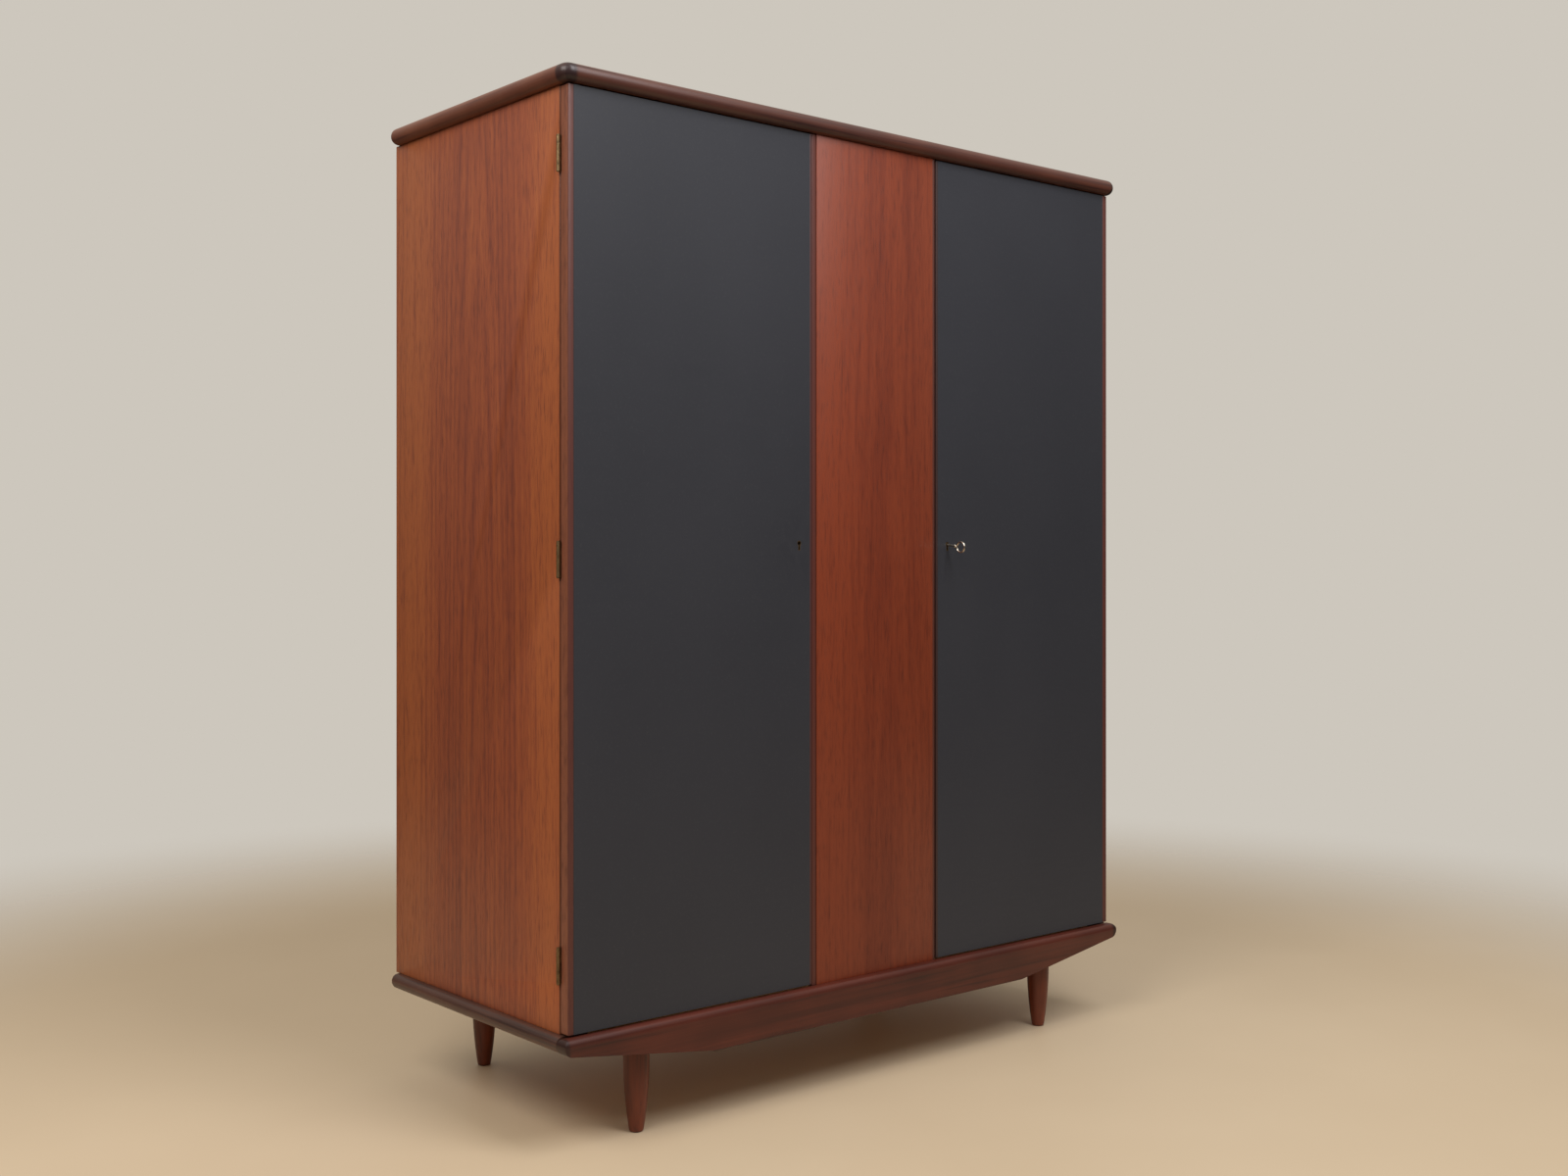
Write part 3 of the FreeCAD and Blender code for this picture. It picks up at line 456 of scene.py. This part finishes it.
base_low = Vector((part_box("bottom_left_rail")[0].x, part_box("front_apron")[0].y,
                   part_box("bottom_left_rail")[0].z))
base_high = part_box("bottom_right_rail")[1]
base_low.x = -base_high.x
base_inner_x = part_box("bottom_panel")[1].x
joint_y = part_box("bottom_left_rail")[0].y
BASE_EDGE_ROUND = 0.0133
BASE_REAR_ROUND = 0.0147
BASE_RAIL_CHART = [(92, 60, 48), (77, 50, 41), (60, 40, 34), (40, 29, 28)]
APRON_CHART = [(84, 37, 26), (68, 29, 21), (54, 24, 18), (38, 20, 17)]
for side, way in (("left", -1), ("right", 1)):
    form = slab(base_low, base_high, 0.0, BASE_REAR_ROUND, BASE_EDGE_ROUND)
    sawn(form, Vector((base_inner_x * way, 0, 0)), (-way, 0, 0))
    sawn(form, Vector((0, joint_y, 0)), (0, -1, 0))
    rail_teak = solid_teak("bottom_%s_rail_teak" % side, 1, BASE_RAIL_CHART, seed=8.0 + way)
    settle(workpiece("bottom_%s_rail.shaped" % side), form, rail_teak,
           "bottom_%s_rail" % side)
rear_teak = solid_teak("bottom_rear_rail_teak", 0, BASE_RAIL_CHART, seed=6.0)
eased_copy("bottom_rear_rail", rear_teak, radius=0.0015, segments=3)

APRON_END_HEIGHT = 0.026
APRON_SLOPE_LENGTH = 0.300
APRON_KINK_ROUND = 0.090
APRON_HALF_SLOPE = 0.077
APRON_END_ROUND = 0.0126
APRON_EDGE_ROUND = 0.006
APRON_EDGE_STEPS = 6
APRON_END_GRAIN = 0.013
apron_low, apron_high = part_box("front_apron")
apron_low.x, apron_high.x = base_low.x, base_high.x
kink_x = base_high.x - APRON_SLOPE_LENGTH
end_z = apron_high.z - APRON_END_HEIGHT
form = bmesh.new()
outline = [form.verts.new((x, apron_low.y, z)) for x, z in (
    (apron_low.x, end_z), (-kink_x, apron_low.z), (kink_x, apron_low.z),
    (apron_high.x, end_z), (apron_high.x, apron_high.z), (apron_low.x, apron_high.z))]
face = form.faces.new(outline)
grown = bmesh.ops.extrude_face_region(form, geom=[face])
behind = [g for g in grown["geom"] if isinstance(g, bmesh.types.BMVert)]
bmesh.ops.translate(form, vec=(0, joint_y - apron_low.y, 0), verts=behind)
bmesh.ops.recalc_face_normals(form, faces=form.faces)
kinks = [e for e in form.edges
         if all(abs(abs(v.co.x) - kink_x) < 1e-6 and v.co.z < end_z for v in e.verts)]
ease(form, kinks, APRON_KINK_ROUND * math.tan(APRON_HALF_SLOPE), ROUND_STEPS)
ends = [e for e in form.edges
        if all(abs(abs(v.co.x) - base_high.x) < 1e-6 for v in e.verts)
        and abs(e.verts[0].co.z - e.verts[1].co.z) < 1e-6]
ease(form, ends, APRON_END_ROUND, ROUND_STEPS)
front_edges = [e for e in form.edges
               if all(abs(v.co.y - apron_low.y) < 1e-6 for v in e.verts)]
ease(form, front_edges, APRON_EDGE_ROUND, APRON_EDGE_STEPS)
apron_teak = solid_teak("front_apron_teak", 0, APRON_CHART, ends=(base_high.x, APRON_END_GRAIN),
                        seed=11.0)
settle(workpiece("front_apron.shaped"), form, apron_teak, "front_apron")


# Legs: turned from solid teak with a long swelling taper and a small rounded foot. The grain
# runs down the leg and shows as long flames where the taper cuts through it.

LEG_CHART = [(117, 57, 36), (98, 46, 30), (73, 35, 25), (50, 26, 21)]
FOOT_RADIUS = 0.0119
FOOT_ROUND = 0.004
FOOT_TUCK = 0.86
FOOT_STEPS = 5
TAPER_HEIGHT = 0.128
TAPER_STEPS = 16
LEG_STEPS = 48
for number, leg in enumerate(("front_left_leg", "front_right_leg", "rear_left_leg",
                              "rear_right_leg")):
    low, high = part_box(leg)
    middle = (low + high) / 2
    top_radius = (high.x - low.x) / 2
    swell = top_radius - FOOT_RADIUS
    arc = (TAPER_HEIGHT ** 2 + swell ** 2) / (2 * swell)
    form = bmesh.new()
    heights = [FOOT_ROUND + (TAPER_HEIGHT - FOOT_ROUND) * step / TAPER_STEPS
               for step in range(1, TAPER_STEPS + 1)]
    profile = [(0.0, 0.0)]
    for step in range(FOOT_STEPS + 1):
        turn = math.pi / 2 * step / FOOT_STEPS
        profile.append((FOOT_RADIUS - FOOT_ROUND * FOOT_TUCK + FOOT_ROUND * math.sin(turn),
                        FOOT_ROUND - FOOT_ROUND * math.cos(turn)))
    profile += [(top_radius - arc + math.sqrt(arc ** 2 - (TAPER_HEIGHT - z) ** 2), z)
                for z in heights]
    profile += [(top_radius, high.z), (0.0, high.z)]
    line = [form.verts.new((middle.x + r, middle.y, z)) for r, z in profile]
    edges = [form.edges.new(pair) for pair in zip(line, line[1:])]
    bmesh.ops.spin(form, geom=line + edges, cent=(middle.x, middle.y, 0), axis=(0, 0, 1),
                   angle=2 * math.pi, steps=LEG_STEPS, use_merge=True)
    bmesh.ops.remove_doubles(form, verts=form.verts, dist=1e-6)
    leg_teak = solid_teak(leg + "_teak", 2, LEG_CHART, seed=13.0 + number, gloss=0.38)
    settle(workpiece(leg + ".shaped"), form, leg_teak, leg)


# Hinges, keyholes and locks: plain brass that has browned with age, brighter where it rubs.
# The hinge screws are the same brass; bolts and rod sockets are plain steel.

def aged_metal(name, bright, dull, dirt, gloss):
    """Old metal: bright where it rubs, dull under its patina, with dirt in the hollows."""
    finish = Finish(name, Metallic=1.0)
    x, y, z = finish.place()
    patina = finish.noise(x * 90, y * 90, z * 60, detail=4.0, roughness=0.65)
    drawn = finish.noise(x * 900, y * 900, z * 60, detail=2.0)
    grime = finish.noise(x * 240, y * 240, z * 160, detail=2.0)
    tone = finish.blend(patina.span(0.35, 0.68), colour(*bright), colour(*dull))
    tone = finish.blend(grime.span(0.55, 0.75) * 0.7, tone, colour(*dirt))
    rough = gloss + (patina - 0.5) * 0.35 + (drawn - 0.5) * 0.12
    relief = drawn * 0.3 + patina * 0.5 - grime * 0.3
    return finish.feed(Base_Color=tone, Roughness=rough,
                       Normal=finish.bump(relief, 0.25, 0.0003))


aged_brass = aged_metal("aged_brass", (138, 114, 82), (102, 82, 60), (58, 45, 36), 0.52)
steel = aged_metal("plain_steel", (200, 200, 198), (160, 160, 160), (96, 92, 88), 0.36)
key_nickel = aged_metal("key_nickel", (214, 206, 192), (168, 158, 142), (92, 82, 70), 0.28)
for node in ("left_hinge_frame_leaves", "right_hinge_frame_leaves", "left_hinge_door_leaves",
             "right_hinge_door_leaves", "hinge_pins", "left_lock_case", "right_lock_case",
             "left_strike_plate", "right_strike_plate", "left_keyhole_bush",
             "right_keyhole_bush"):
    eased_copy(node, aged_brass, radius=0.0)
for node in ("frame_hinge_screws", "left_door_hinge_screws", "right_door_hinge_screws"):
    eased_copy(node, aged_brass, radius=0.0)
for node in ("left_lock_bolt", "right_lock_bolt", "leg_bolts", "rod_sockets"):
    eased_copy(node, steel, radius=0.0)
eased_copy("key", key_nickel, radius=0.0)


# The inside: a lacquered pale board for the partition, shelves and floor, with plywood behind.
# The hanging rod is a turned beech bar on two steel cups.

INSIDE_CHART = [(206, 158, 106), (188, 138, 90), (160, 112, 72), (128, 86, 56)]
PLY_CHART = [(206, 176, 132), (192, 160, 118), (170, 136, 98), (142, 110, 78)]


def board_teak(name, chart, along, seed):
    across, depth = [axis for axis in (0, 1, 2) if axis != along]
    return teak(name, across=across, along=along, depth=depth, chart=chart, leaf=0.3,
                seed=seed, figure=0.6, gloss=0.46)


upright_board = board_teak("inside_upright", INSIDE_CHART, 2, 3.0)
level_board = board_teak("inside_level", INSIDE_CHART, 0, 5.0)
plywood = board_teak("back_plywood", PLY_CHART, 2, 8.0)
block_wood = solid_teak("inside_block", 0, INSIDE_CHART, seed=2.0, gloss=0.5)
for node in ("centre_partition", "left_stop_stile", "right_stop_stile"):
    eased_copy(node, upright_board, radius=0.0008)
for node in ("left_hat_shelf", "right_lower_shelf", "right_middle_shelf", "right_upper_shelf",
             "bottom_panel"):
    eased_copy(node, level_board, radius=0.0008)
for node in ("left_shelf_cleats", "right_shelf_cleats", "leg_blocks", "hanging_rod"):
    eased_copy(node, block_wood, radius=0.0)
for node in ("left_back_panel", "right_back_panel"):
    eased_copy(node, plywood, radius=0.0)


# The studio: a plain pale disc of floor that fades into an even pale backdrop, two soft lamps
# high up, one at the left and one in front, and a level camera at chest height, off the left
# front corner. The light of the backdrop itself is weak from below and grows upwards.

FLOOR_SPREAD = 3.4
floor = workpiece("floor")
form = bmesh.new()
bmesh.ops.create_circle(form, cap_ends=True, radius=FLOOR_SPREAD, segments=96)
form.to_mesh(floor.data)
form.free()
floor_finish = Finish("floor", Specular_IOR_Level=0.3)
x, y, z = floor_finish.place()
worn = floor_finish.noise(x * 1.5, y * 1.5, z, detail=3.0)
from_middle = (x * x + y * y).root()
floor.data.materials.append(floor_finish.feed(
    Base_Color=floor_finish.blend(worn, colour(190, 170, 142), colour(198, 179, 152)),
    Roughness=0.42 + worn * 0.1, Alpha=from_middle.span(FLOOR_SPREAD * 0.98, FLOOR_SPREAD * 0.45)))

near_corner = Vector((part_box("left_door_outer_lipping")[0].x,
                      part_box("left_door_outer_lipping")[0].y, 0))
CAMERA_FROM_CORNER = Vector((-1.5137, -2.3129, 0.960))
CAMERA_YAW = math.radians(-40.34)
CAMERA_LENS = 39.54
CAMERA_SHIFT = -0.0196
camera_data = bpy.data.cameras.new("camera")
camera_data.sensor_width = 36.0
camera_data.lens = CAMERA_LENS
camera_data.shift_y = CAMERA_SHIFT
camera_data.clip_end = 200.0
camera = bpy.data.objects.new("camera", camera_data)
camera.location = near_corner + CAMERA_FROM_CORNER
camera.rotation_euler = (math.radians(90), 0, CAMERA_YAW)
bpy.context.scene.collection.objects.link(camera)
bpy.context.scene.camera = camera


def softbox(name, spot, aim, width, height, power, tint):
    """A rectangular lamp that faces a point."""
    data = bpy.data.lights.new(name, "AREA")
    data.shape = "RECTANGLE"
    data.size = width
    data.size_y = height
    data.energy = power
    data.color = tint
    lamp = bpy.data.objects.new(name, data)
    lamp.location = spot
    lamp.rotation_euler = (Vector(aim) - Vector(spot)).to_track_quat("-Z", "Y").to_euler()
    bpy.context.scene.collection.objects.link(lamp)


softbox("window", (-2.9, -0.8, 3.3), (-0.4, 0, 1.3), 2.2, 1.8, 90, (1.0, 0.96, 0.92))
softbox("ceiling", (0.0, -2.1, 3.3), (0.0, 0, 1.2), 1.25, 2.0, 78, (0.96, 0.97, 1.0))

world = bpy.data.worlds.new("studio")
world.use_nodes = True
sky = world.node_tree.nodes["Background"]
sky.inputs["Color"].default_value = colour(205, 199, 189)
aim = world.node_tree.nodes.new("ShaderNodeTexCoord")
rise = world.node_tree.nodes.new("ShaderNodeSeparateXYZ")
glow = world.node_tree.nodes.new("ShaderNodeMapRange")
glow.interpolation_type = "SMOOTHSTEP"
seen = world.node_tree.nodes.new("ShaderNodeLightPath")
level = world.node_tree.nodes.new("ShaderNodeMix")
for name, value in (("From Min", -0.15), ("From Max", 0.9), ("To Min", 0.05), ("To Max", 1.15)):
    glow.inputs[name].default_value = value
level.inputs["B"].default_value = 1.0
for source, target in ((aim.outputs["Generated"], rise.inputs[0]),
                       (rise.outputs["Z"], glow.inputs["Value"]),
                       (glow.outputs["Result"], level.inputs["A"]),
                       (seen.outputs["Is Camera Ray"], level.inputs["Factor"]),
                       (level.outputs["Result"], sky.inputs["Strength"])):
    world.node_tree.links.new(source, target)
bpy.context.scene.world = world
bpy.context.scene.view_settings.view_transform = "Standard"
